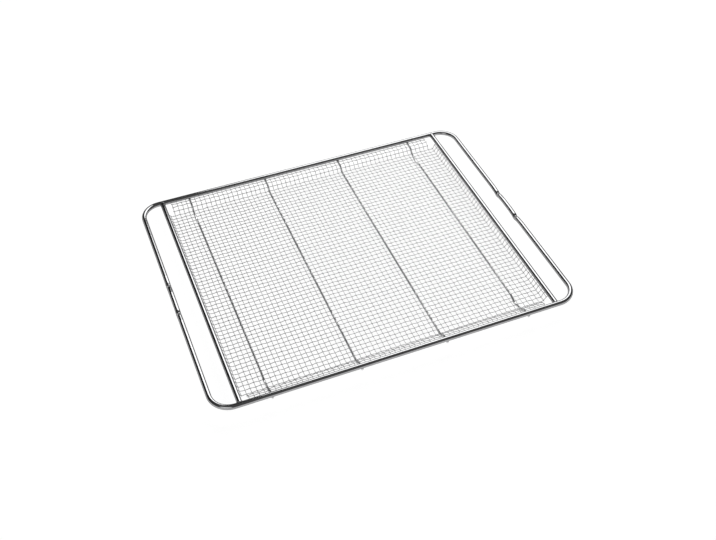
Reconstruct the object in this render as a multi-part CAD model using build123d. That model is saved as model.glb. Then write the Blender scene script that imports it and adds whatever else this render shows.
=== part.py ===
from build123d import *
from math import atan2, degrees, tan
import os

# Air fry oven tray: a woven mesh tray welded into a bent rod frame.
# Millimetres. X runs along the long side, Y from front to back, Z up. The feet stand on Z = 0.

# Frame rod and crossbars
rod_diameter = 6.4
frame_length = 464.4        # outside, along X
frame_depth = 368.4         # outside, along Y
corner_radius = 24.0        # on the rod's centre line
hand_gap = 23.1             # clear width between a crossbar and the frame's end
weld_set = 1.0              # how far a crossbar's end is set onto the long rod

# Stop dips in the short sides of the frame
shoulder_length = 30.0      # over both shoulders of a stop
shoulder_depth = 0.9        # from the straight rod down to the end of a shoulder
stop_depth = 1.3            # from there down to the bottom
stop_length = 9.0
stop_flat = 1.8
stop_bend_radius = 4.5      # on the rod's centre line
back_stop = 27.0            # from the middle of the side towards the back
front_stop = 22.5           # from the middle of the side towards the front

# Woven mesh, drawn with fewer and wider strands than the real weave
mesh_wire = 0.8             # wire diameter: warp and weft lie on each other
strand_width = 2.0
warp_count = 11             # strands that run along Y
weft_count = 9              # strands that run along X
tray_depth = 6.7            # from the lips down to the floor
long_lip = 12.0             # from the long rod's centre line to the top of the wall
long_wall_run = 5.7         # how far the front and back walls lean out
short_lip = 2.4             # from the crossbar's centre line to the top of the wall
short_wall_run = 3.8        # how far the left and right walls lean out
corner_cut_x = 5.0          # how much narrower than the floor the front and back flaps are, at each end
corner_cut_y = 1.3          # the same on the left and right flaps

# Support wires under the mesh
support_diameter = 3.0
support_inset = 31.1        # from the floor's edge to the outer wire
support_bend_radius = 4.0   # on the wire's centre line
wall_clearance = 0.8        # from the mesh wall out to the wire beside it
support_overhang = 1.0      # past the long rod's centre line
foot_drop = 3.7             # from the wire's straight run down to the foot
foot_length = 24.0
foot_flat = 3.0
foot_inset = 14.8           # from the floor's edge to the middle of a foot

# Levels, stacked up from the feet
support_floor_z = foot_drop + support_diameter / 2
mesh_floor_z = foot_drop + support_diameter
mesh_lip_z = mesh_floor_z + tray_depth
mesh_thickness = 2 * mesh_wire
rod_z = mesh_lip_z + mesh_thickness + rod_diameter / 2

# Places in plan
rod_x = (frame_length - rod_diameter) / 2
rod_y = (frame_depth - rod_diameter) / 2
crossbar_x = rod_x - rod_diameter - hand_gap
floor_x = crossbar_x - short_lip - short_wall_run
floor_y = rod_y - long_lip - long_wall_run
outer_warp_x = floor_x - corner_cut_x - strand_width / 2
outer_weft_y = floor_y - corner_cut_y - strand_width / 2


def bent_rod(corners, bend_radii, diameter):
    """A round bar bent along a polyline: cylinders for its straight runs, pieces of a torus for its bends."""
    pieces = []
    for run in FilletPolyline(*corners, radius=bend_radii).edges():
        section = Plane(origin=run @ 0, z_dir=run % 0) * Circle(diameter / 2)
        if run.geom_type == GeomType.CIRCLE:
            turning = (run @ 0 - run.arc_center).cross(run % 0)
            bend_angle = degrees(run.length / run.radius)
            pieces.append(revolve(section, axis=Axis(run.arc_center, turning), revolution_arc=bend_angle))
        else:
            pieces.append(extrude(section, amount=run.length))
    return Part() + pieces


def dip(middle, top, depth, length, flat):
    """A bend down and up again with a flat bottom, as (distance, height) of its corners."""
    return [
        (middle - length / 2, top),
        (middle - flat / 2, top - depth),
        (middle + flat / 2, top - depth),
        (middle + length / 2, top),
    ]


def stop(middle):
    """A stop in a short side: a dip between two gentle shoulders, as (distance, height) of its corners."""
    dipped = dip(middle, rod_z - shoulder_depth, stop_depth, stop_length, stop_flat)
    return [(middle - shoulder_length / 2, rod_z)] + dipped + [(middle + shoulder_length / 2, rod_z)]


def frame_rod():
    """The closed outer ring: two halves, each bent from one rod, welded in the middle of the long sides."""
    halves = []
    for side in (-1, 1):
        front = [(0, -rod_y, rod_z), (side * rod_x, -rod_y, rod_z)]
        stops = [(side * rod_x, y, z) for y, z in stop(-front_stop) + stop(back_stop)]
        back = [(side * rod_x, rod_y, rod_z), (0, rod_y, rod_z)]
        radii = [corner_radius] + [stop_bend_radius] * len(stops) + [corner_radius]
        halves.append(bent_rod(front + stops + back, radii, rod_diameter))
    return halves[0] + halves[1]


def crossbar(side):
    """A straight rod between the long sides, coped at both ends where it is set onto them."""
    length = 2 * (rod_y - rod_diameter / 2 + weld_set)
    bar = Rot(X=90) * Cylinder(rod_diameter / 2, length)
    long_rod = Rot(Y=90) * Cylinder(rod_diameter / 2, 2 * rod_diameter)
    for end in (-1, 1):
        bar -= Pos(Y=end * rod_y) * long_rod
    return Pos(side * crossbar_x, 0, rod_z) * bar


def fold_corners(floor, wall_run, end, level):
    """Half of the tray's section, from the floor's edge outwards, as (distance, height) of its corners.

    level is the height above the underside of the mesh, measured square to the sheet, so the corners of a
    line above or below the sheet move by level times the tangent of half the wall's angle.
    """
    wall_angle = atan2(tray_depth, wall_run)
    inward = level * tan(wall_angle / 2)
    return [
        (floor - inward, mesh_floor_z + level),
        (floor + wall_run - inward, mesh_lip_z + level),
        (end, mesh_lip_z + level),
    ]


def both_sides(half):
    """A section that is the same on both sides of the middle, from its outer half."""
    return [(-d, z) for d, z in reversed(half)] + half


def strand(plane, floor, wall_run, end, level):
    """One mesh strand from lip to lip through its four folds: a section on plane, as wide as a strand."""
    below = both_sides(fold_corners(floor, wall_run, end, level))
    above = both_sides(fold_corners(floor, wall_run, end, level + mesh_wire))
    section = plane * make_face(Polyline(*below, *reversed(above), close=True))
    return extrude(section, amount=strand_width / 2, both=True)


def spread(count, reach):
    """Evenly spaced places from -reach to reach."""
    return [reach * (2 * i / (count - 1) - 1) for i in range(count)]


def mesh_tray():
    """The folded mesh: weft strands along X below, warp strands along Y on top of them, corners left open."""
    end_x = crossbar_x + strand_width / 2
    end_y = rod_y + strand_width / 2
    strands = []
    for y in spread(weft_count, outer_weft_y):
        strands.append(strand(Plane.XZ.offset(-y), floor_x, short_wall_run, end_x, 0))
    for x in spread(warp_count, outer_warp_x):
        strands.append(strand(Plane.YZ.offset(x), floor_y, long_wall_run, end_y, mesh_wire))
    front_edge = Box(2 * outer_warp_x + strand_width, strand_width, mesh_wire)
    left_edge = Box(strand_width, 2 * outer_weft_y + strand_width, mesh_wire)
    for side in (-1, 1):
        strands.append(Pos(0, side * rod_y, mesh_lip_z + mesh_wire / 2) * front_edge)
        strands.append(Pos(side * crossbar_x, 0, mesh_lip_z + mesh_wire * 3 / 2) * left_edge)
    return Part() + strands


def support_wire(x, has_feet):
    """A wire from front to back under the mesh, joggled up to the long rods, with feet on the outer ones."""
    end = rod_y + support_overhang
    half = fold_corners(floor_y + wall_clearance, long_wall_run, end, -support_diameter / 2)
    if has_feet:
        half = dip(floor_y - foot_inset, support_floor_z, foot_drop, foot_length, foot_flat) + half
    corners = [(x, y, z) for y, z in both_sides(half)]
    return bent_rod(corners, support_bend_radius, support_diameter)


os.makedirs("parts", exist_ok=True)
nodes = {
    "frame_rod": frame_rod(),
    "left_crossbar": crossbar(-1),
    "right_crossbar": crossbar(1),
    "mesh_tray": mesh_tray(),
}
support_names = ["outer_left_support", "inner_left_support", "inner_right_support", "outer_right_support"]
for name, x in zip(support_names, spread(len(support_names), floor_x - support_inset)):
    nodes[name] = support_wire(x, name.startswith("outer"))
for name, solid in nodes.items():
    export_step(solid, f"parts/{name}.step")
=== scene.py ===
"""Air fry oven tray: the woven mesh, the welds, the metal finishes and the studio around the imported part."""
import math

import bpy
import numpy as np
from bpy.props import FloatProperty, FloatVectorProperty, IntProperty, PointerProperty
from mathutils import Matrix, Vector


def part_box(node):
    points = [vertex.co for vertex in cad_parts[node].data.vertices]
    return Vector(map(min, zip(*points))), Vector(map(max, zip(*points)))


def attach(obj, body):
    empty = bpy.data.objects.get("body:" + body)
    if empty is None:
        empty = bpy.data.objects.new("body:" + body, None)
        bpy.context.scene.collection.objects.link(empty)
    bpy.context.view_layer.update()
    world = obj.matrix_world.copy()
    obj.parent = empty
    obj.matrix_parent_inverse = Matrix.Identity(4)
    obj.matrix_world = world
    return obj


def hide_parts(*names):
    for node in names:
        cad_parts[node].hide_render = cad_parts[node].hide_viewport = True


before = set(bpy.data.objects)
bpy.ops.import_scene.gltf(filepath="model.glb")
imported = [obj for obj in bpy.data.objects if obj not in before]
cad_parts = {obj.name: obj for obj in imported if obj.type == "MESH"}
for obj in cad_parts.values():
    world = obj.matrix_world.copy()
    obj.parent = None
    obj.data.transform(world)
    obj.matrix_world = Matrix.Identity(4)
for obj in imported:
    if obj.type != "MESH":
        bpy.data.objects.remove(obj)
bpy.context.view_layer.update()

bl_info = {
    "name": "Air Fry Oven Tray",
    "version": (1, 0, 0),
    "blender": (4, 5, 0),
    "location": "View3D > Sidebar > Tray",
    "description": "Weaves the tray's mesh, adds its welds and finishes and sets up the studio",
    "category": "Object",
}

MM = 0.001
CROSSBARS = ("left_crossbar", "right_crossbar")
ROD_NODES = ("frame_rod", *CROSSBARS)
SUPPORT_NODES = ("outer_left_support", "inner_left_support", "inner_right_support", "outer_right_support")
FRONT_AND_BACK = (-1, 1)

# The uneven weave
FADE_POWERS = (6, 4)            # how late the floor's unevenness fades out towards its folds, on X and on Y
BULGE_LENGTHS = (31 * MM, 26 * MM)  # one radian of the floor's bulges, on X and on Y
BULGE_STARTS = (1.1, 0.6)       # radians at which the bulges start, on X and on Y
WANDER_LENGTH = 60 * MM         # length on which a wire's wander turns by WANDER_TURNS
WANDER_TURNS = (1.5, 3.5)       # least and most of that turn, in radians
CUT_END = 0.25                  # how far a cut wire reaches past its last crossing, in pitches
CROSSING_POWER = 6              # how close to a crossing a wire gets the painted contact shade

# The welds
BEAD_STEPS = 48                 # points along a bead
BEAD_SIDES = 10                 # points round its section
BEAD_TIP = 0.4                  # how much the saddle's two tips are softened, in rod radii
BEAD_SWELLS = ((3, 0.14, 1), (7, 0.08, 2))  # waves round a bead, their share of it, their shift at the next
NUGGET_RINGS = 9
NUGGET_SIDES = 16
NUGGET_POLE = 0.96              # where a spot weld ends flat, as a share of its half height

# The finishes and the studio
EDGE_TINT = (0.4, 0.4, 0.4)     # share of its light that the metal keeps near its edges
CROSSING_SHADE = (0.88, 0.88, 0.88)  # share of its colour that a mesh wire keeps at a crossing: painted contact shade, with some residue where the wires touch
GRAIN_SHARE = 0.5               # how much the grain adds to the smudges
FRONT_ELEVATION = math.radians(55)  # middle of the lighter part of the room
FRONT_COSINES = (0.2, 0.9)      # between these cosines from that middle the room gets lighter
SWEEP_STEPS = 25                # points on each turn up of the floor
NODE_SPACING = (200, -160)      # one column and one row in the node editor


def middle(node, axis):
    """The middle of a node's box on one axis, 0 for X, 1 for Y and 2 for Z."""
    low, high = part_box(node)
    return (low[axis] + high[axis]) / 2


def crossbar_radius():
    """Half of a crossbar's height. The frame's rod is as thick."""
    low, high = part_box("left_crossbar")
    return (high[2] - low[2]) / 2


def long_rod_y():
    """From the middle of the tray to the centre line of a long rod."""
    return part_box("frame_rod")[1][1] - crossbar_radius()


class TrayMeshSettings(bpy.types.PropertyGroup):
    """Sizes of the woven and folded mesh."""

    warp_wire: FloatProperty(
        name="Warp wire", description="Diameter of the mesh wires that run from front to back",
        default=0.72 * MM, min=0.1 * MM, unit="LENGTH", precision=5)
    weft_wire: FloatProperty(
        name="Weft wire", description="Diameter of the mesh wires that run from left to right",
        default=0.84 * MM, min=0.1 * MM, unit="LENGTH", precision=5)
    pitch: FloatProperty(
        name="Pitch", description="From the middle of one mesh wire to the next",
        default=6.35 * MM, min=1 * MM, unit="LENGTH", precision=5)
    long_lip: FloatProperty(
        name="Long lip",
        description="From the long rod's centre line to the top of the front and back walls",
        default=12.0 * MM, unit="LENGTH", precision=5)
    long_wall_run: FloatProperty(
        name="Long wall run", description="How far the front and back walls lean out",
        default=5.7 * MM, unit="LENGTH", precision=5)
    short_lip: FloatProperty(
        name="Short lip",
        description="From the crossbar's centre line to the top of the left and right walls",
        default=2.4 * MM, unit="LENGTH", precision=5)
    short_wall_run: FloatProperty(
        name="Short wall run", description="How far the left and right walls lean out",
        default=3.8 * MM, unit="LENGTH", precision=5)
    fold_radius: FloatProperty(
        name="Fold radius", description="Radius of the folds in the mesh",
        default=1.2 * MM, unit="LENGTH", precision=5)
    corner_cut: FloatProperty(
        name="Corner cut", description="By how much the front and back flaps are narrower than the floor",
        default=5.0 * MM, unit="LENGTH", precision=5)
    sag: FloatProperty(
        name="Sag", description="How far the floor hangs down between the support wires",
        default=0.6 * MM, unit="LENGTH", precision=5)
    bulge: FloatProperty(
        name="Bulge", description="How far the uneven floor rises off the support wires",
        default=0.7 * MM, unit="LENGTH", precision=5)
    wander: FloatProperty(
        name="Wander", description="How far a wire strays sideways from its straight line",
        default=0.22 * MM, unit="LENGTH", precision=5)
    wire_sides: IntProperty(
        name="Wire sides", description="Flat sides of a wire's round section",
        default=6, min=4)
    rings_per_pitch: IntProperty(
        name="Rings per pitch", description="Rings of points from one crossing to the next",
        default=4, min=2)
    seed: IntProperty(name="Seed", description="Start of the uneven weave's random numbers", default=7)


class TrayWeldSettings(bpy.types.PropertyGroup):
    """Sizes of the welds."""

    bead: FloatProperty(
        name="Bead", description="Thickness of the bead round a crossbar's end",
        default=1.5 * MM, unit="LENGTH", precision=5)
    bead_set: FloatProperty(
        name="Bead set", description="How deep the bead's middle lies under the crossbar's surface",
        default=0.35 * MM, unit="LENGTH", precision=5)
    nugget: FloatVectorProperty(
        name="Nugget", description="Length, width and height of the spot weld on a support wire's end",
        default=(3.6 * MM, 3.0 * MM, 2.2 * MM), unit="LENGTH", precision=5)


class TrayFinishSettings(bpy.types.PropertyGroup):
    """Colours of the metals."""

    # The rods' colour is darker than plain chrome: painted shade, so that their reflections read darker.
    chrome: FloatVectorProperty(
        name="Chrome", description="Colour of the plated rods",
        default=(0.40, 0.40, 0.405), subtype="COLOR", min=0, max=1)
    chrome_dull: FloatVectorProperty(
        name="Dull chrome", description="Colour of the rods where the plating is smudged",
        default=(0.35, 0.35, 0.355), subtype="COLOR", min=0, max=1)
    # The support wires carry the rods' plating, painted paler than the rods' so that they show a stronger
    # highlight.
    support: FloatVectorProperty(
        name="Support", description="Colour of the support wires",
        default=(0.86, 0.86, 0.865), subtype="COLOR", min=0, max=1)
    support_dull: FloatVectorProperty(
        name="Dull support", description="Colour of the support wires where they are smudged",
        default=(0.76, 0.76, 0.765), subtype="COLOR", min=0, max=1)
    steel: FloatVectorProperty(
        name="Mesh steel", description="Colour of the mesh wire",
        default=(0.47, 0.47, 0.475), subtype="COLOR", min=0, max=1)
    steel_dull: FloatVectorProperty(
        name="Dull mesh steel", description="Colour of the mesh wire where it is smudged",
        default=(0.40, 0.40, 0.405), subtype="COLOR", min=0, max=1)
    weld: FloatVectorProperty(
        name="Weld", description="Colour of the welds",
        default=(0.40, 0.40, 0.405), subtype="COLOR", min=0, max=1)
    weld_dull: FloatVectorProperty(
        name="Dull weld", description="Colour of the welds' scale",
        default=(0.26, 0.26, 0.265), subtype="COLOR", min=0, max=1)


class TrayStageSettings(bpy.types.PropertyGroup):
    """Camera, floor and light."""

    camera_azimuth: FloatProperty(
        name="Camera azimuth", description="Turn of the camera round the tray, 0 from the front",
        default=math.radians(-21.3), subtype="ANGLE")
    camera_elevation: FloatProperty(
        name="Camera elevation", description="Height of the camera above the horizon",
        default=math.radians(45.37), subtype="ANGLE")
    camera_roll: FloatProperty(
        name="Camera roll", description="Turn of the camera about its line of sight",
        default=math.radians(-0.665), subtype="ANGLE")
    camera_distance: FloatProperty(
        name="Camera distance", description="From the camera to the point that it looks at",
        default=1.2112, subtype="DISTANCE", unit="LENGTH")
    camera_aim: FloatVectorProperty(
        name="Camera aim", description="The point that the camera looks at",
        default=(-0.0016, -0.0362, 0.018), subtype="TRANSLATION", unit="LENGTH")
    lens: FloatProperty(
        name="Lens", description="Focal length of the camera", default=48.5, unit="CAMERA")
    floor_size: FloatProperty(
        name="Floor size", description="Width of the floor, and twice its reach to the front",
        default=30.0, subtype="DISTANCE", unit="LENGTH")
    rim_radius: FloatProperty(
        name="Rim radius", description="Radius of the turn up at the floor's left, right and front edges",
        default=2.0, subtype="DISTANCE", unit="LENGTH")
    sweep_start: FloatProperty(
        name="Sweep start",
        description="From the middle of the tray to where the floor turns up at the back",
        default=2.4, subtype="DISTANCE", unit="LENGTH")
    sweep_radius: FloatProperty(
        name="Sweep radius",
        description="Radius of the floor's turn up to the backdrop, which ends upright",
        default=0.8, subtype="DISTANCE", unit="LENGTH")
    floor_colour: FloatVectorProperty(
        name="Floor colour", description="Colour of the floor in the light",
        default=(0.25, 0.25, 0.25), subtype="COLOR", min=0, max=1)
    floor_white: FloatProperty(
        name="Floor white", description="Light of the floor itself as it is seen, so that it is white",
        default=0.92)
    lamp_place: FloatVectorProperty(
        name="Lamp place", description="Middle of the large soft lamp, which looks at the tray",
        default=(0.393, 0.572, 0.743), subtype="TRANSLATION", unit="LENGTH")
    lamp_size: FloatProperty(
        name="Lamp size", description="Diameter of the soft lamp",
        default=0.91, subtype="DISTANCE", unit="LENGTH")
    lamp_light: FloatProperty(
        name="Lamp light", description="How bright the soft lamp's face is", default=3.2)
    fill_place: FloatVectorProperty(
        name="Fill place", description="Middle of the fill lamp at the front left, which looks at the tray",
        default=(-0.75, -0.95, 0.62), subtype="TRANSLATION", unit="LENGTH")
    fill_size: FloatProperty(
        name="Fill size", description="Diameter of the fill lamp",
        default=0.9, subtype="DISTANCE", unit="LENGTH")
    fill_light: FloatProperty(
        name="Fill light", description="How bright the fill lamp's face is", default=1.2)
    room_light: FloatProperty(
        name="Room light", description="Light of the dark studio", default=0.05)
    front_light: FloatProperty(
        name="Front light", description="Light of the studio above the camera", default=0.16)


def new_piece(name, points, quads, caps, material, attributes=None):
    """A mesh object from arrays: points (n, 3), four-sided faces (m, 4) and flat end faces (k, sides).

    The four-sided faces are smooth. Attributes are one value or one vector for each point.
    """
    mesh = bpy.data.meshes.new(name)
    mesh.vertices.add(len(points))
    mesh.vertices.foreach_set("co", np.ascontiguousarray(points, np.float32).ravel())
    corners = np.concatenate([quads.ravel(), caps.ravel()]).astype(np.int32)
    quad_starts = np.arange(len(quads)) * 4
    cap_starts = quads.size + np.arange(len(caps)) * (caps.shape[1] if len(caps) else 1)
    starts = np.concatenate([quad_starts, cap_starts]).astype(np.int32)
    mesh.loops.add(len(corners))
    mesh.loops.foreach_set("vertex_index", corners)
    mesh.polygons.add(len(starts))
    mesh.polygons.foreach_set("loop_start", starts)
    mesh.polygons.foreach_set("use_smooth", np.arange(len(starts)) < len(quads))
    mesh.update(calc_edges=True)
    for label, values in (attributes or {}).items():
        is_vector = values.ndim == 2
        layer = mesh.attributes.new(label, "FLOAT_VECTOR" if is_vector else "FLOAT", "POINT")
        layer.data.foreach_set("vector" if is_vector else "value", values.astype(np.float32).ravel())
    mesh.materials.append(material)
    piece = bpy.data.objects.new(name, mesh)
    bpy.context.scene.collection.objects.link(piece)
    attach(piece, "root")
    return piece


def tube_faces(tubes, rings, sides):
    """Faces of tubes whose points count round the section first, then along the tube, then tube by tube.

    Each quad joins two neighbours round a ring with the two behind them on the next ring, and a flat face
    closes each end. They point outwards where the section runs right-handed about the tube's direction.
    """
    tube, ring, side = np.meshgrid(np.arange(tubes), np.arange(rings - 1), np.arange(sides), indexing="ij")
    first = (tube * rings + ring) * sides
    beside = (side + 1) % sides
    quads = np.stack([first + side, first + beside, first + sides + beside, first + sides + side], -1)
    start = (np.arange(tubes) * rings * sides)[:, None]
    back_caps = start + np.arange(sides)[::-1]
    front_caps = start + (rings - 1) * sides + np.arange(sides)
    return quads.reshape(-1, 4), np.concatenate([back_caps, front_caps])


def full_turn(count):
    """Evenly spaced angles round a full turn."""
    return np.arange(count) * 2 * np.pi / count


def unit(vectors):
    """Vectors of length one."""
    return vectors / np.linalg.norm(vectors, axis=-1, keepdims=True)


class FoldedSection:
    """Half of the sheet's section, from its middle outwards.

    The slope is the wall's angle between the two folds and zero elsewhere, with an even turn over each fold.
    The distance and the height are the running sums of the slope's cosine and sine.
    """

    STEPS = 6000

    def __init__(self, floor, wall_run, depth, reach, fold_radius):
        angle = math.atan2(depth, wall_run)
        slant = math.hypot(depth, wall_run)
        lip = reach - floor - wall_run
        fold = fold_radius * angle
        self.flat = np.linspace(0, floor + slant + lip, self.STEPS)
        rise = np.clip((self.flat - floor) / fold + 0.5, 0, 1)
        settle = np.clip((self.flat - floor - slant) / fold + 0.5, 0, 1)
        self.slope = angle * (rise - settle)
        step = self.flat[1]
        self.distance = np.cumsum(np.cos(self.slope)) * step - step
        height = np.cumsum(np.sin(self.slope)) * step
        self.height = height * depth / height[-1]

    def at(self, flat):
        """Distance, height and slope at places on the flat sheet, mirrored on the middle's other side."""
        way = np.sign(flat)
        place = np.abs(flat)
        distance = way * np.interp(place, self.flat, self.distance)
        height = np.interp(place, self.flat, self.height)
        return distance, height, way * np.interp(place, self.flat, self.slope)


def floor_offset(x, y, floor_x, floor_y, support_spacing, settings):
    """Height of the uneven floor over the flat one.

    It sags by a squared cosine between the support wires and bulges by a product of two slow waves. Both
    fade out towards the folds, by one minus a high power of the distance from the middle.
    """
    fade_x = np.clip(1 - (x / floor_x) ** FADE_POWERS[0], 0, 1)
    fade_y = np.clip(1 - (y / floor_y) ** FADE_POWERS[1], 0, 1)
    sag = settings.sag * np.cos(np.pi * x / support_spacing) ** 2
    wave_x = np.sin(x / BULGE_LENGTHS[0] + BULGE_STARTS[0])
    wave_y = np.sin(y / BULGE_LENGTHS[1] + BULGE_STARTS[1])
    return fade_x * fade_y * (settings.bulge * (0.5 + 0.5 * wave_x * wave_y) - sag)


def sheet_normal(run_slope, cross_slope):
    """Normal of the folded sheet: upright, leant back by the slope along a wire and by the one across it."""
    parts = (
        -np.sin(run_slope) * np.cos(cross_slope),
        -np.sin(cross_slope),
        np.cos(run_slope) * np.cos(cross_slope),
    )
    return np.stack(np.broadcast_arrays(*parts), -1)


def wire_rings(centre, normal, radius, angle):
    """Rings of points square to the wires' centre lines.

    A point lies at the radius from its line, by the cosine of its angle sideways and by the sine upwards.
    """
    tangent = unit(np.gradient(centre, axis=1))
    sideways = unit(np.cross(normal, tangent))
    upwards = np.cross(tangent, sideways)
    cosine = np.cos(angle)[:, None]
    sine = np.sin(angle)[:, None]
    outwards = cosine * sideways[:, :, None, :] + sine * upwards[:, :, None, :]
    return centre[:, :, None, :] + radius * outwards


def weave(name, runs_on_x, groups, run_section, cross_section, lift, settings, material):
    """One direction of the weave as round wires.

    A wire's centre line follows the folded sheet and swings to either side of it by a quarter of both wires,
    as a cosine with its turns at the crossings. Its neighbours swing the other way. Sideways it wanders by a
    slow sine of its own. Each group of wires is its numbers and its rings from the middle to an end.
    """
    radius = (settings.weft_wire if runs_on_x else settings.warp_wire) / 2
    swing_height = (settings.weft_wire + settings.warp_wire) / 4
    first_way = 1 if runs_on_x else -1
    pitch = settings.pitch
    chance = np.random.default_rng(settings.seed + runs_on_x)
    angle = full_turn(settings.wire_sides)
    points, quads, caps, crossing, drawn = [], [], [], [], []
    count = 0
    for numbers, rings in groups:
        across = ((numbers + 0.5) * pitch)[:, None]
        along = (np.arange(-rings, rings + 1) * pitch / settings.rings_per_pitch)[None, :]
        run, run_height, run_slope = run_section.at(along)
        cross, cross_height, cross_slope = cross_section.at(across)
        phase = chance.uniform(0, 2 * np.pi, across.shape)
        turns = chance.uniform(*WANDER_TURNS, across.shape)
        cross = cross + settings.wander * np.sin(turns * along / WANDER_LENGTH + phase)
        run, cross = np.broadcast_arrays(run, cross)
        x, y = (run, cross) if runs_on_x else (cross, run)
        turn_at = np.cos(np.pi * (along / pitch - 0.5))
        swing = swing_height * np.where(numbers % 2, -first_way, first_way)[:, None] * turn_at
        normal = sheet_normal(run_slope, cross_slope)
        height = run_height + cross_height + lift(x, y)
        centre = np.stack([run, cross, height], -1) + swing[..., None] * normal
        ring_points = wire_rings(centre, normal, radius, angle)
        shape = ring_points.shape[:3]
        ring_points = ring_points.reshape(-1, 3)
        new_quads, new_caps = tube_faces(*shape)
        if not runs_on_x:
            # A wire along Y is worked out along X. The exchange turns its faces over, so they run backwards.
            ring_points = ring_points[:, [1, 0, 2]]
            new_quads = new_quads[:, ::-1]
            new_caps = new_caps[:, ::-1]
        points.append(ring_points)
        quads.append(count + new_quads)
        caps.append(count + new_caps)
        # The crossing mask is near one at a crossing, where the colour gets painted contact shade with some
        # residue.
        crossing.append(np.broadcast_to(np.abs(turn_at[..., None]) ** CROSSING_POWER, shape).ravel())
        # The phase sets the marks of one wire apart from its neighbours'.
        length = np.broadcast_to(along[..., None] + phase[..., None], shape).ravel()
        turn = np.broadcast_to(angle, shape).ravel()
        drawn.append(np.stack([length, radius * np.cos(turn), radius * np.sin(turn)], -1))
        count += len(ring_points)
    piece = new_piece(
        name, np.concatenate(points), np.concatenate(quads), np.concatenate(caps), material,
        {"crossing": np.concatenate(crossing), "drawn": np.concatenate(drawn)})
    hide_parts("mesh_tray")
    return piece


def wire_numbers(reach, pitch):
    """Numbers of the wires within reach of the middle. A wire lies at its number plus a half, in pitches."""
    half = int(reach / pitch + 0.5)
    return np.arange(-half, half)


def ring_count(reach, settings):
    """How many rings fit from the middle of a wire to its end."""
    return int(reach / settings.pitch * settings.rings_per_pitch)


def wire_groups(full_reach, all_reach, full_run, cut_run, settings):
    """Two groups of one direction's wires, each as their numbers and their rings from the middle to an end.

    The wires within full_reach run all the way from lip to lip. Those beyond it are cut off at the corners,
    just past the last wire that they cross.
    """
    every = wire_numbers(all_reach, settings.pitch)
    is_full = np.abs(every + 0.5) * settings.pitch < full_reach
    last_crossing = wire_numbers(cut_run, settings.pitch)[-1] + 0.5
    full_rings = ring_count(full_run, settings)
    cut_rings = int((last_crossing + CUT_END) * settings.rings_per_pitch)
    return [(every[is_full], full_rings), (every[~is_full], cut_rings)]


class TRAY_OT_weave_mesh(bpy.types.Operator):
    """Weave the mesh that lies in the frame, folded to a floor, four walls and four lips"""

    bl_idname = "tray.weave_mesh"
    bl_label = "Weave Mesh"

    def execute(self, context):
        settings = context.scene.tray_mesh
        low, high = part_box("mesh_tray")
        rod_y = long_rod_y()
        crossbar_x = middle("right_crossbar", 0)
        spacing = middle("inner_right_support", 0) - middle("inner_left_support", 0)
        thickness = settings.warp_wire + settings.weft_wire
        depth = high[2] - low[2] - thickness
        floor_x = crossbar_x - settings.short_lip - settings.short_wall_run
        floor_y = rod_y - settings.long_lip - settings.long_wall_run
        flap_x = floor_x - settings.corner_cut
        short = FoldedSection(floor_x, settings.short_wall_run, depth, crossbar_x, settings.fold_radius)
        long = FoldedSection(floor_y, settings.long_wall_run, depth, rod_y, settings.fold_radius)

        def lift(x, y):
            return low[2] + thickness / 2 + floor_offset(x, y, floor_x, floor_y, spacing, settings)

        warp_groups = wire_groups(flap_x, short.flat[-1], long.flat[-1], floor_y, settings)
        weft_groups = wire_groups(floor_y, long.flat[-1], short.flat[-1], flap_x, settings)
        steel = mesh_steel(context.scene.tray_finish)
        weave("mesh_warp", False, warp_groups, long, short, lift, settings, steel)
        weave("mesh_weft", True, weft_groups, short, long, lift, settings, steel)
        return {"FINISHED"}


def saddle_beads(ends, rod_radius, bead, bead_set, bar_z, rod_y):
    """Beads round the crossbars' ends.

    The path is the saddle in which the crossbar meets the long rod of the same size, softened at its two
    tips. The bead's thickness swells by slow waves along it, and its section is round.
    """
    around = full_turn(BEAD_STEPS)
    turn = full_turn(BEAD_SIDES)[None, :, None]
    path_radius = rod_radius - bead_set
    outwards = np.stack([np.cos(around), np.zeros_like(around), np.sin(around)], -1)[:, None, :]
    saddle = rod_radius * np.sqrt(np.cos(around) ** 2 + BEAD_TIP ** 2)
    points = []
    for number, (x, end) in enumerate(ends):
        swell = sum(share * np.sin(waves * around + shift * number) for waves, share, shift in BEAD_SWELLS)
        thickness = (bead / 2 * (1 + swell))[:, None, None]
        path_x = x + path_radius * np.cos(around)
        path_y = end * (rod_y - saddle)
        path_z = bar_z + path_radius * np.sin(around)
        path = np.stack([path_x, path_y, path_z], -1)
        inwards = np.array([0.0, -end, 0.0])
        grid = path[:, None, :] + thickness * (np.cos(turn) * outwards + np.sin(turn) * inwards)
        # The beads at the front run the other way round, so that their faces point outwards too.
        points.append(grid[::end])
    return np.stack(points)


def closed_grid_faces(tubes, rows, columns):
    """Faces of grids that close on themselves in both directions."""
    tube, row, column = np.meshgrid(np.arange(tubes), np.arange(rows), np.arange(columns), indexing="ij")
    first = tube * rows * columns
    next_row = (row + 1) % rows
    next_column = (column + 1) % columns
    corners = [row * columns + column, row * columns + next_column,
               next_row * columns + next_column, next_row * columns + column]
    return np.stack([first + corner for corner in corners], -1).reshape(-1, 4)


def nuggets(places, size):
    """Spot welds: balls stretched to size, their sides pressed flatter by a fourth power."""
    lift = np.linspace(-NUGGET_POLE, NUGGET_POLE, NUGGET_RINGS)
    girth = (1 - lift ** 4) ** 0.5
    turn = full_turn(NUGGET_SIDES)
    ball = np.stack([
        np.outer(girth, np.cos(turn)),
        np.outer(girth, np.sin(turn)),
        np.broadcast_to(lift[:, None], (NUGGET_RINGS, NUGGET_SIDES))], -1)
    points = np.array(places)[:, None, None, :] + ball * np.array(size) / 2
    return points.reshape(-1, 3), *tube_faces(len(places), NUGGET_RINGS, NUGGET_SIDES)


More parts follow.
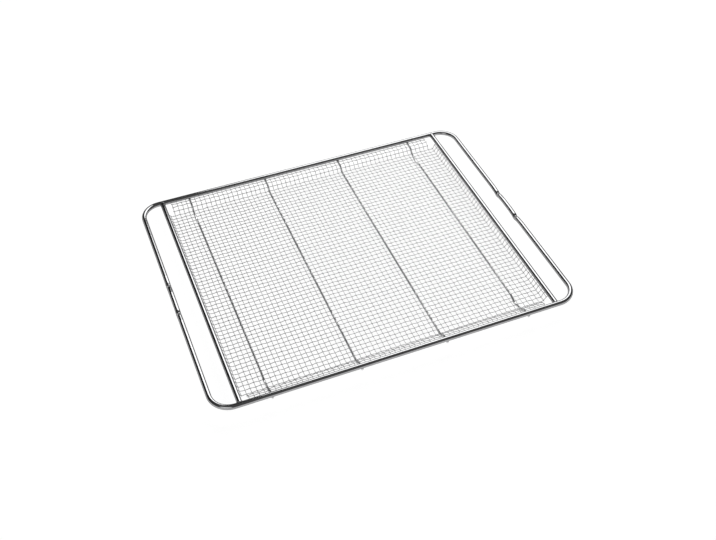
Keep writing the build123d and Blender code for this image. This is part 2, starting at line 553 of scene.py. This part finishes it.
class TRAY_OT_add_welds(bpy.types.Operator):
    """Add the beads at the crossbars' ends and the spot welds at the support wires' ends"""

    bl_idname = "tray.add_welds"
    bl_label = "Add Welds"

    def execute(self, context):
        settings = context.scene.tray_weld
        finish = weld_scale(context.scene.tray_finish)
        rod_radius = crossbar_radius()
        rod_y = long_rod_y()
        bar_z = middle("left_crossbar", 2)
        ends = [(middle(node, 0), end) for node in CROSSBARS for end in FRONT_AND_BACK]
        grid = saddle_beads(ends, rod_radius, settings.bead, settings.bead_set, bar_z, rod_y)
        quads = closed_grid_faces(*grid.shape[:3])
        no_caps = np.zeros((0, 4), int)
        beads = new_piece("crossbar_welds", grid.reshape(-1, 3), quads, no_caps, finish)
        rod_bottom = bar_z - rod_radius
        support_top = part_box("inner_left_support")[1][2]
        weld_z = (rod_bottom + support_top) / 2
        places = [(middle(node, 0), end * rod_y, weld_z) for node in SUPPORT_NODES for end in FRONT_AND_BACK]
        spots = new_piece("support_welds", *nuggets(places, settings.nugget), finish)
        return {"FINISHED"}


def add_node(tree, kind, place, **values):
    """A node at a column and row of the tree, with its properties and its named or numbered inputs set."""
    node = tree.nodes.new(kind)
    node.location = (place[0] * NODE_SPACING[0], place[1] * NODE_SPACING[1])
    for key, value in values.pop("inputs", {}).items():
        node.inputs[key].default_value = value
    for key, value in values.items():
        setattr(node, key, value)
    return node


def polish_marks():
    """Node group: slow smudges and fine grain on metal, as a colour, a roughness and a height."""
    known = bpy.data.node_groups.get("polish_marks")
    if known:
        return known
    group = bpy.data.node_groups.new("polish_marks", "ShaderNodeTree")
    sockets = (
        ("Vector", "INPUT", "NodeSocketVector"),
        ("Smudge Scale", "INPUT", "NodeSocketFloat"),
        ("Grain Scale", "INPUT", "NodeSocketFloat"),
        ("Clean Color", "INPUT", "NodeSocketColor"),
        ("Dull Color", "INPUT", "NodeSocketColor"),
        ("Clean Roughness", "INPUT", "NodeSocketFloat"),
        ("Dull Roughness", "INPUT", "NodeSocketFloat"),
        ("Color", "OUTPUT", "NodeSocketColor"),
        ("Roughness", "OUTPUT", "NodeSocketFloat"),
        ("Height", "OUTPUT", "NodeSocketFloat"),
    )
    for label, way, kind in sockets:
        group.interface.new_socket(label, in_out=way, socket_type=kind)
    given = add_node(group, "NodeGroupInput", (0, 0))
    smudge = add_node(group, "ShaderNodeTexNoise", (1, 0), inputs={"Detail": 3.0, "Roughness": 0.55})
    grain = add_node(group, "ShaderNodeTexNoise", (1, 2), inputs={"Detail": 2.0, "Roughness": 0.6})
    spread = add_node(group, "ShaderNodeMapRange", (2, 0), inputs={"From Min": 0.35, "From Max": 0.68})
    speckle = add_node(group, "ShaderNodeMath", (2, 2), operation="MULTIPLY_ADD", inputs={
        1: GRAIN_SHARE, 2: -GRAIN_SHARE / 2})
    blend = add_node(group, "ShaderNodeMath", (3, 1), operation="ADD", use_clamp=True)
    color = add_node(group, "ShaderNodeMix", (4, 0), data_type="RGBA")
    rough = add_node(group, "ShaderNodeMix", (4, 1))
    result = add_node(group, "NodeGroupOutput", (5, 0))
    link = group.links.new
    link(given.outputs["Vector"], smudge.inputs["Vector"])
    link(given.outputs["Vector"], grain.inputs["Vector"])
    link(given.outputs["Smudge Scale"], smudge.inputs["Scale"])
    link(given.outputs["Grain Scale"], grain.inputs["Scale"])
    link(smudge.outputs["Fac"], spread.inputs["Value"])
    link(grain.outputs["Fac"], speckle.inputs[0])
    link(spread.outputs["Result"], blend.inputs[0])
    link(speckle.outputs["Value"], blend.inputs[1])
    link(blend.outputs["Value"], color.inputs["Factor"])
    link(blend.outputs["Value"], rough.inputs["Factor"])
    link(given.outputs["Clean Color"], color.inputs["A"])
    link(given.outputs["Dull Color"], color.inputs["B"])
    link(given.outputs["Clean Roughness"], rough.inputs["A"])
    link(given.outputs["Dull Roughness"], rough.inputs["B"])
    link(color.outputs["Result"], result.inputs["Color"])
    link(rough.outputs["Result"], result.inputs["Roughness"])
    link(grain.outputs["Fac"], result.inputs["Height"])
    return group


def metal(name, coordinate, colors, roughness, scales, bump, bump_distance):
    """A metal with smudges and grain. Returns the material, its tree, its marks and its shader.

    The pairs of colours and roughness are the clean and the dull ones, and those of scales are for the
    smudges and the grain.
    """
    material = bpy.data.materials.new(name)
    material.use_nodes = True
    tree = material.node_tree
    tree.nodes.clear()
    shader = add_node(tree, "ShaderNodeBsdfPrincipled", (3, 0), inputs={
        "Metallic": 1.0, "Specular Tint": (*EDGE_TINT, 1)})
    output = add_node(tree, "ShaderNodeOutputMaterial", (5, 0))
    if coordinate == "Object":
        source = add_node(tree, "ShaderNodeTexCoord", (0, 0)).outputs["Object"]
    else:
        source = add_node(tree, "ShaderNodeAttribute", (0, 0), attribute_name=coordinate).outputs["Vector"]
    marks = add_node(tree, "ShaderNodeGroup", (1, 0), node_tree=polish_marks())
    values = {
        "Smudge Scale": scales[0], "Grain Scale": scales[1],
        "Clean Color": (*colors[0], 1), "Dull Color": (*colors[1], 1),
        "Clean Roughness": roughness[0], "Dull Roughness": roughness[1],
    }
    for label, value in values.items():
        marks.inputs[label].default_value = value
    ripple = add_node(tree, "ShaderNodeBump", (2, 2), inputs={"Strength": bump, "Distance": bump_distance})
    tree.links.new(source, marks.inputs["Vector"])
    tree.links.new(marks.outputs["Color"], shader.inputs["Base Color"])
    tree.links.new(marks.outputs["Roughness"], shader.inputs["Roughness"])
    tree.links.new(marks.outputs["Height"], ripple.inputs["Height"])
    tree.links.new(ripple.outputs["Normal"], shader.inputs["Normal"])
    tree.links.new(shader.outputs["BSDF"], output.inputs["Surface"])
    return material, tree, marks, shader


def rod_chrome(finish):
    """Bright plating on the thick rods: nearly a mirror, with faint smudges and a fine grain."""
    colors = (finish.chrome, finish.chrome_dull)
    return metal(
        "rod_chrome", "Object", colors, roughness=(0.05, 0.12), scales=(55.0, 2600.0),
        bump=0.06, bump_distance=0.02 * MM)[0]


def support_chrome(finish):
    """Plating on the thin support wires, a little duller than on the rods; its colour is paler than the rods'
    as a painted highlight.
    """
    colors = (finish.support, finish.support_dull)
    return metal(
        "support_chrome", "Object", colors, roughness=(0.08, 0.15), scales=(80.0, 3200.0),
        bump=0.1, bump_distance=0.02 * MM)[0]


def mesh_steel(finish):
    """Drawn wire: satin, with marks that follow each wire, and painted contact shade, with some residue, where
    the wires cross.
    """
    colors = (finish.steel, finish.steel_dull)
    material, tree, marks, shader = metal(
        "mesh_steel", "drawn", colors, roughness=(0.24, 0.36), scales=(120.0, 2500.0),
        bump=0.1, bump_distance=0.01 * MM)
    # The crossing mask paints contact shade, with some residue, into the colour where the wires touch.
    near = add_node(tree, "ShaderNodeAttribute", (1, 3), attribute_name="crossing")
    shade = add_node(tree, "ShaderNodeMix", (2, 0), data_type="RGBA", blend_type="MULTIPLY")
    shade.inputs["B"].default_value = (*CROSSING_SHADE, 1)
    tree.links.new(near.outputs["Fac"], shade.inputs["Factor"])
    tree.links.new(marks.outputs["Color"], shade.inputs["A"])
    tree.links.new(shade.outputs["Result"], shader.inputs["Base Color"])
    return material


def weld_scale(finish):
    """Weld metal under the plating: rougher than the rods, with dark scale in spots."""
    colors = (finish.weld, finish.weld_dull)
    return metal(
        "weld_scale", "Object", colors, roughness=(0.22, 0.45), scales=(900.0, 4000.0),
        bump=0.4, bump_distance=0.05 * MM)[0]


class TRAY_OT_finish_rods(bpy.types.Operator):
    """Give the rods, the crossbars and the support wires their plating"""

    bl_idname = "tray.finish_rods"
    bl_label = "Finish Rods"

    def execute(self, context):
        finish = context.scene.tray_finish
        for nodes, material in ((ROD_NODES, rod_chrome(finish)), (SUPPORT_NODES, support_chrome(finish))):
            for node in nodes:
                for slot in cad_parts[node].material_slots:
                    slot.material = material
        return {"FINISHED"}


def turned(azimuth, elevation):
    """Direction at an azimuth from the back to the right and at an elevation above the horizon."""
    level = math.cos(elevation)
    return Vector((math.sin(azimuth) * level, math.cos(azimuth) * level, math.sin(elevation)))


def looking(place, way):
    """Place and turn of a lamp or a camera that looks along way, upright."""
    return Matrix.Translation(place) @ way.to_track_quat("-Z", "Y").to_matrix().to_4x4()


def studio_world(stage):
    """The dark room that the metal sees, a little lighter above the camera."""
    world = bpy.data.worlds.new("studio")
    world.use_nodes = True
    tree = world.node_tree
    tree.nodes.clear()
    way = add_node(tree, "ShaderNodeTexCoord", (0, 0))
    cosine = add_node(tree, "ShaderNodeVectorMath", (1, 0), operation="DOT_PRODUCT", inputs={
        1: turned(math.pi, FRONT_ELEVATION)})
    front = add_node(tree, "ShaderNodeMapRange", (2, 0), inputs={
        "From Min": FRONT_COSINES[0], "From Max": FRONT_COSINES[1],
        "To Min": stage.room_light, "To Max": stage.front_light})
    background = add_node(tree, "ShaderNodeBackground", (3, 0))
    output = add_node(tree, "ShaderNodeOutputWorld", (4, 0))
    link = tree.links.new
    link(way.outputs["Generated"], cosine.inputs[0])
    link(cosine.outputs["Value"], front.inputs["Value"])
    link(front.outputs["Result"], background.inputs["Strength"])
    link(background.outputs["Background"], output.inputs["Surface"])
    return world


def soft_lamp(name, place, size, light):
    """A round area lamp that looks at the middle of the tray, with the same light all over its face.

    Its power is that light times pi and the area of the disc.
    """
    lamp = bpy.data.lights.new(name, "AREA")
    lamp.shape = "DISK"
    lamp.size = size
    lamp.energy = light * math.pi * math.pi * (size / 2) ** 2
    holder = bpy.data.objects.new(name, lamp)
    holder.matrix_world = looking(Vector(place), -Vector(place))
    holder.visible_camera = False
    bpy.context.scene.collection.objects.link(holder)


def floor_paper(stage):
    """White paper: it takes the tray's shadow, and the camera and the metal see it as white."""
    material = bpy.data.materials.new("floor_paper")
    material.use_nodes = True
    tree = material.node_tree
    tree.nodes.clear()
    path = add_node(tree, "ShaderNodeLightPath", (0, 0))
    seen = add_node(tree, "ShaderNodeMath", (1, 0), operation="ADD")
    looked = add_node(tree, "ShaderNodeMath", (2, 0), operation="ADD", use_clamp=True)
    light = add_node(tree, "ShaderNodeMath", (3, 0), operation="MULTIPLY", inputs={1: stage.floor_white})
    paper = add_node(tree, "ShaderNodeBsdfDiffuse", (3, 1), inputs={"Color": (*stage.floor_colour, 1)})
    glow = add_node(tree, "ShaderNodeEmission", (4, 0))
    both = add_node(tree, "ShaderNodeAddShader", (5, 0))
    output = add_node(tree, "ShaderNodeOutputMaterial", (6, 0))
    link = tree.links.new
    link(path.outputs["Is Camera Ray"], seen.inputs[0])
    link(path.outputs["Is Glossy Ray"], seen.inputs[1])
    link(seen.outputs["Value"], looked.inputs[0])
    link(path.outputs["Is Transmission Ray"], looked.inputs[1])
    link(looked.outputs["Value"], light.inputs[0])
    link(light.outputs["Value"], glow.inputs["Strength"])
    link(paper.outputs["BSDF"], both.inputs[0])
    link(glow.outputs["Emission"], both.inputs[1])
    link(both.outputs["Shader"], output.inputs["Surface"])
    return material


def turned_up(start, radius):
    """A quarter circle up from level, as distances and heights.

    They grow by the sine of its turn and by one minus the cosine.
    """
    turn = np.linspace(0, np.pi / 2, SWEEP_STEPS)
    return start + radius * np.sin(turn), radius * (1 - np.cos(turn))


def paper_sweep(stage):
    """The floor and the backdrop as one sheet.

    Across X and across Y it is level, with a quarter circle up at either end: at the floor's edges on three
    sides, and closer to the tray at the back. Its height is the larger of both sections' heights.
    """
    edge, edge_height = turned_up(stage.floor_size / 2 - stage.rim_radius, stage.rim_radius)
    back, back_height = turned_up(stage.sweep_start, stage.sweep_radius)
    x = np.concatenate([-edge[::-1], edge])
    y = np.concatenate([-edge[::-1], back])
    x_height = np.concatenate([edge_height[::-1], edge_height])
    y_height = np.concatenate([edge_height[::-1], back_height])
    height = np.maximum(x_height[:, None], y_height)
    points = np.stack([*np.meshgrid(x, y, indexing="ij"), height], -1).reshape(-1, 3)
    row, column = np.meshgrid(np.arange(len(x) - 1), np.arange(len(y) - 1), indexing="ij")
    first = row * len(y) + column
    quads = np.stack([first, first + len(y), first + len(y) + 1, first + 1], -1).reshape(-1, 4)
    mesh = bpy.data.meshes.new("floor")
    mesh.from_pydata(points.tolist(), [], quads.tolist())
    mesh.materials.append(floor_paper(stage))
    return bpy.data.objects.new("floor", mesh)


class TRAY_OT_set_stage(bpy.types.Operator):
    """Set up the floor, the studio light and the camera"""

    bl_idname = "tray.set_stage"
    bl_label = "Set Stage"

    def execute(self, context):
        scene = context.scene
        stage = scene.tray_stage
        scene.view_settings.view_transform = "Standard"
        scene.world = studio_world(stage)
        soft_lamp("soft_lamp", stage.lamp_place, stage.lamp_size, stage.lamp_light)
        soft_lamp("fill_lamp", stage.fill_place, stage.fill_size, stage.fill_light)
        floor = paper_sweep(stage)
        scene.collection.objects.link(floor)
        camera = bpy.data.objects.new("camera", bpy.data.cameras.new("camera"))
        camera.data.lens = stage.lens
        back = turned(math.pi - stage.camera_azimuth, stage.camera_elevation)
        place = Vector(stage.camera_aim) + back * stage.camera_distance
        camera.matrix_world = looking(place, -back) @ Matrix.Rotation(stage.camera_roll, 4, "Z")
        scene.collection.objects.link(camera)
        scene.camera = camera
        return {"FINISHED"}


class TRAY_PT_pieces(bpy.types.Panel):
    """Sidebar panel that lists the tray's operators and settings"""

    bl_idname = "TRAY_PT_pieces"
    bl_label = "Air Fry Oven Tray"
    bl_space_type = "VIEW_3D"
    bl_region_type = "UI"
    bl_category = "Tray"

    def draw(self, context):
        for operator, settings in PANEL_ROWS:
            column = self.layout.column(align=True)
            column.operator(operator.bl_idname)
            group = getattr(context.scene, settings)
            for name in group.__annotations__:
                column.prop(group, name)


PANEL_ROWS = (
    (TRAY_OT_weave_mesh, "tray_mesh"),
    (TRAY_OT_add_welds, "tray_weld"),
    (TRAY_OT_finish_rods, "tray_finish"),
    (TRAY_OT_set_stage, "tray_stage"),
)
SETTINGS = {
    "tray_mesh": TrayMeshSettings,
    "tray_weld": TrayWeldSettings,
    "tray_finish": TrayFinishSettings,
    "tray_stage": TrayStageSettings,
}
CLASSES = (*SETTINGS.values(), *(operator for operator, _ in PANEL_ROWS), TRAY_PT_pieces)


def register():
    for cls in CLASSES:
        bpy.utils.register_class(cls)
    for name, group in SETTINGS.items():
        setattr(bpy.types.Scene, name, PointerProperty(type=group))


def unregister():
    for name in SETTINGS:
        delattr(bpy.types.Scene, name)
    for cls in reversed(CLASSES):
        bpy.utils.unregister_class(cls)


def main():
    register()
    bpy.ops.tray.weave_mesh()
    bpy.ops.tray.add_welds()
    bpy.ops.tray.finish_rods()
    bpy.ops.tray.set_stage()


if __name__ == "__main__":
    main()
